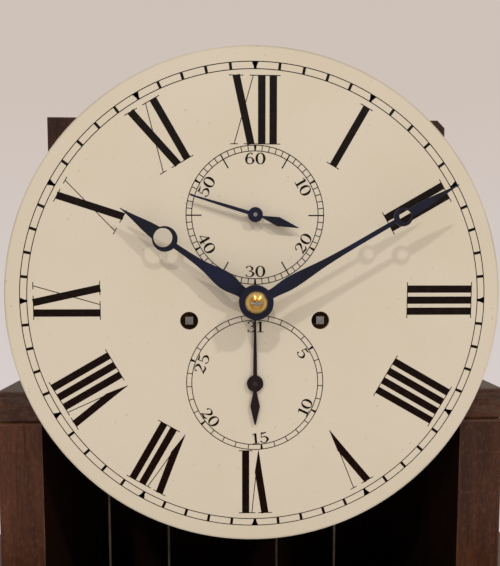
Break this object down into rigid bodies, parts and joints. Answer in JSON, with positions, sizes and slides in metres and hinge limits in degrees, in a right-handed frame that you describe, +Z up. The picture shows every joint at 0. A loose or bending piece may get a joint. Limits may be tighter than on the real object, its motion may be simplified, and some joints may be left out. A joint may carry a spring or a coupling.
{
  "type": "longcase clock",
  "caption": "Longcase clock without its hood: round painted dial with seconds and date, weight-driven striking movement, seconds pendulum, wooden case with trunk door.",
  "frame": {"origin": "middle of the footprint, on the floor", "axes": "+X to the right of someone facing the dial, +Y to the back, +Z up"},
  "size_m": [0.432, 0.23, 1.801],
  "materials": {
    "wood": "polished dark mahogany",
    "brass": "aged brass",
    "bell_metal": "turned bell metal",
    "steel": "bright steel",
    "blued_steel": "blued steel",
    "dial_paint": "cream dial paint",
    "iron": "dark cast iron",
    "gut": "gut line"
  },
  "bodies": {
    "case": {"backboard": "wood", "left_side": "wood", "right_side": "wood", "trunk_frame": "wood", "throat_moulding": "wood", "waist_moulding": "wood", "base_panels": "wood", "plinth_skirting": "wood", "base_floor": "wood", "seatboard": "wood", "seatboard_hooks": "steel", "hinge_frame_leaves": "brass", "front_plate": "brass", "back_plate": "brass", "pillars": "brass", "back_cock": "brass", "bell_stand": "steel", "bell": "bell_metal", "dial": "dial_paint", "dial_feet": "steel", "hour_bridge": "brass", "date_cock": "brass", "going_line": "gut", "strike_line": "gut"},
    "door": {"trunk_door": "wood", "hinge_door_leaves": "brass", "door_escutcheon": "brass", "door_lock": "iron"},
    "bolt": {"lock_bolt": "steel"},
    "escape": {"escape_wheel": "brass", "seconds_hand": "blued_steel"},
    "third": {"third_wheel": "brass"},
    "centre": {"centre_wheel": "brass"},
    "going_great": {"going_great_wheel": "brass"},
    "minute": {"cannon_wheel": "brass", "minute_hand": "blued_steel", "hand_collet": "brass"},
    "minute_work": {"minute_wheel": "brass"},
    "hour": {"hour_wheel": "brass", "hour_hand": "blued_steel"},
    "date": {"date_wheel": "brass", "date_hand": "blued_steel"},
    "pendulum": {"suspension_spring": "steel", "pendulum_rod": "steel", "pendulum_bob": "brass"},
    "nut": {"rating_nut": "brass"},
    "pallets": {"pallets": "steel"},
    "going_drum": {"going_barrel": "brass"},
    "going_load": {"going_weight": "iron"},
    "going_sheave": {"going_pulley": "brass"},
    "strike_drum": {"strike_barrel": "brass"},
    "strike_load": {"strike_weight": "iron"},
    "strike_sheave": {"strike_pulley": "brass"},
    "strike_great": {"strike_great_wheel": "brass"},
    "pins": {"pin_wheel": "brass"},
    "gathering": {"gathering_wheel": "brass"},
    "warning": {"warning_wheel": "brass"},
    "fly": {"fly": "brass"},
    "hammer": {"hammer": "steel"}
  },
  "joints": [
    {"name": "door_swing", "type": "hinge", "parent": "case", "child": "door", "pos_m": [0.1286, -0.0573, 0.95], "axis": [0, 0, 1], "range_deg": [0, 110]},
    {"name": "lock_throw", "type": "slide", "parent": "door", "child": "bolt", "axis": [-1, 0, 0], "range_m": [0, 0.008]},
    {"name": "seconds_turn", "type": "hinge", "parent": "case", "child": "escape", "pos_m": [0, 0, 1.697], "axis": [0, 1, 0], "continuous": true},
    {"name": "third_turn", "type": "hinge", "parent": "case", "child": "third", "pos_m": [0.01006, 0, 1.6739], "axis": [0, 1, 0], "continuous": true},
    {"name": "centre_turn", "type": "hinge", "parent": "case", "child": "centre", "pos_m": [0, 0, 1.645], "axis": [0, 1, 0], "continuous": true},
    {"name": "going_great_turn", "type": "hinge", "parent": "case", "child": "going_great", "pos_m": [0.0406, 0, 1.6325], "axis": [0, 1, 0], "continuous": true},
    {"name": "minute_hand_turn", "type": "hinge", "parent": "case", "child": "minute", "pos_m": [0, 0, 1.645], "axis": [0, 1, 0], "continuous": true},
    {"name": "minute_wheel_turn", "type": "hinge", "parent": "case", "child": "minute_work", "pos_m": [0.015, 0, 1.625], "axis": [0, 1, 0], "continuous": true},
    {"name": "hour_hand_turn", "type": "hinge", "parent": "case", "child": "hour", "pos_m": [0, 0, 1.645], "axis": [0, 1, 0], "continuous": true},
    {"name": "date_turn", "type": "hinge", "parent": "case", "child": "date", "pos_m": [0, 0, 1.5935], "axis": [0, 1, 0], "continuous": true},
    {"name": "pendulum_swing", "type": "hinge", "parent": "case", "child": "pendulum", "pos_m": [0, 0.068, 1.7245], "axis": [0, 1, 0], "range_deg": [-2.5, 2.5]},
    {"name": "rating_nut_turn", "type": "hinge", "parent": "pendulum", "child": "nut", "pos_m": [0, 0.068, 0.6759], "axis": [0, 0, 1], "continuous": true},
    {"name": "pallet_rock", "type": "hinge", "parent": "case", "child": "pallets", "pos_m": [0, 0, 1.7245], "axis": [0, 1, 0], "range_deg": [-2.5, 2.5]},
    {"name": "going_weight_drop", "type": "slide", "parent": "case", "child": "going_load", "axis": [0, 0, 1], "range_m": [-0.55, 0.34], "deforming": ["going_line"]},
    {"name": "going_winding", "type": "hinge", "parent": "case", "child": "going_drum", "pos_m": [0.0406, 0, 1.6325], "axis": [0, 1, 0], "range_deg": [-2865.3, 1771.5]},
    {"name": "going_pulley_turn", "type": "hinge", "parent": "going_load", "child": "going_sheave", "pos_m": [0.0406, 0.003, 1.165], "axis": [0, 1, 0], "range_deg": [-1432.9, 886]},
    {"name": "strike_weight_drop", "type": "slide", "parent": "case", "child": "strike_load", "axis": [0, 0, 1], "range_m": [-0.55, 0.34], "deforming": ["strike_line"]},
    {"name": "strike_winding", "type": "hinge", "parent": "case", "child": "strike_drum", "pos_m": [-0.0406, 0, 1.6325], "axis": [0, 1, 0], "range_deg": [-2865.3, 1771.5]},
    {"name": "strike_pulley_turn", "type": "hinge", "parent": "strike_load", "child": "strike_sheave", "pos_m": [-0.0846, 0.003, 1.165], "axis": [0, 1, 0], "range_deg": [-886, 1432.9]},
    {"name": "warning_turn", "type": "hinge", "parent": "case", "child": "warning", "pos_m": [-0.04493, 0, 1.70492], "axis": [0, 1, 0], "continuous": true},
    {"name": "fly_turn", "type": "hinge", "parent": "case", "child": "fly", "pos_m": [-0.03796, 0, 1.71988], "axis": [0, 1, 0], "continuous": true},
    {"name": "gathering_turn", "type": "hinge", "parent": "case", "child": "gathering", "pos_m": [-0.02599, 0, 1.69715], "axis": [0, 1, 0], "continuous": true},
    {"name": "pin_wheel_turn", "type": "hinge", "parent": "case", "child": "pins", "pos_m": [-0.03198, 0, 1.66898], "axis": [0, 1, 0], "continuous": true},
    {"name": "strike_great_turn", "type": "hinge", "parent": "case", "child": "strike_great", "pos_m": [-0.0406, 0, 1.6325], "axis": [0, 1, 0], "continuous": true},
    {"name": "hammer_lift", "type": "hinge", "parent": "case", "child": "hammer", "pos_m": [-0.062, 0, 1.665], "axis": [0, -1, 0], "range_deg": [0, 9], "stiffness_Nm_per_rad": 0.6}
  ],
  "couplings": [
    {"joint": "third_turn", "follows": "seconds_turn", "ratio": -0.125},
    {"joint": "centre_turn", "follows": "seconds_turn", "ratio": 0.016667},
    {"joint": "going_great_turn", "follows": "seconds_turn", "ratio": -0.0013889},
    {"joint": "minute_wheel_turn", "follows": "minute_hand_turn", "ratio": -1},
    {"joint": "hour_hand_turn", "follows": "minute_hand_turn", "ratio": 0.083333},
    {"joint": "pallet_rock", "follows": "pendulum_swing", "ratio": 1},
    {"joint": "going_winding", "follows": "going_weight_drop", "rad_per_m": 90.909},
    {"joint": "going_pulley_turn", "follows": "going_weight_drop", "rad_per_m": 45.455},
    {"joint": "strike_winding", "follows": "strike_weight_drop", "rad_per_m": 90.909},
    {"joint": "strike_pulley_turn", "follows": "strike_weight_drop", "rad_per_m": -45.455},
    {"joint": "fly_turn", "follows": "warning_turn", "ratio": -6.8571},
    {"joint": "gathering_turn", "follows": "warning_turn", "ratio": -0.125},
    {"joint": "pin_wheel_turn", "follows": "warning_turn", "ratio": 0.015625},
    {"joint": "strike_great_turn", "follows": "warning_turn", "ratio": -0.0014881}
  ]
}
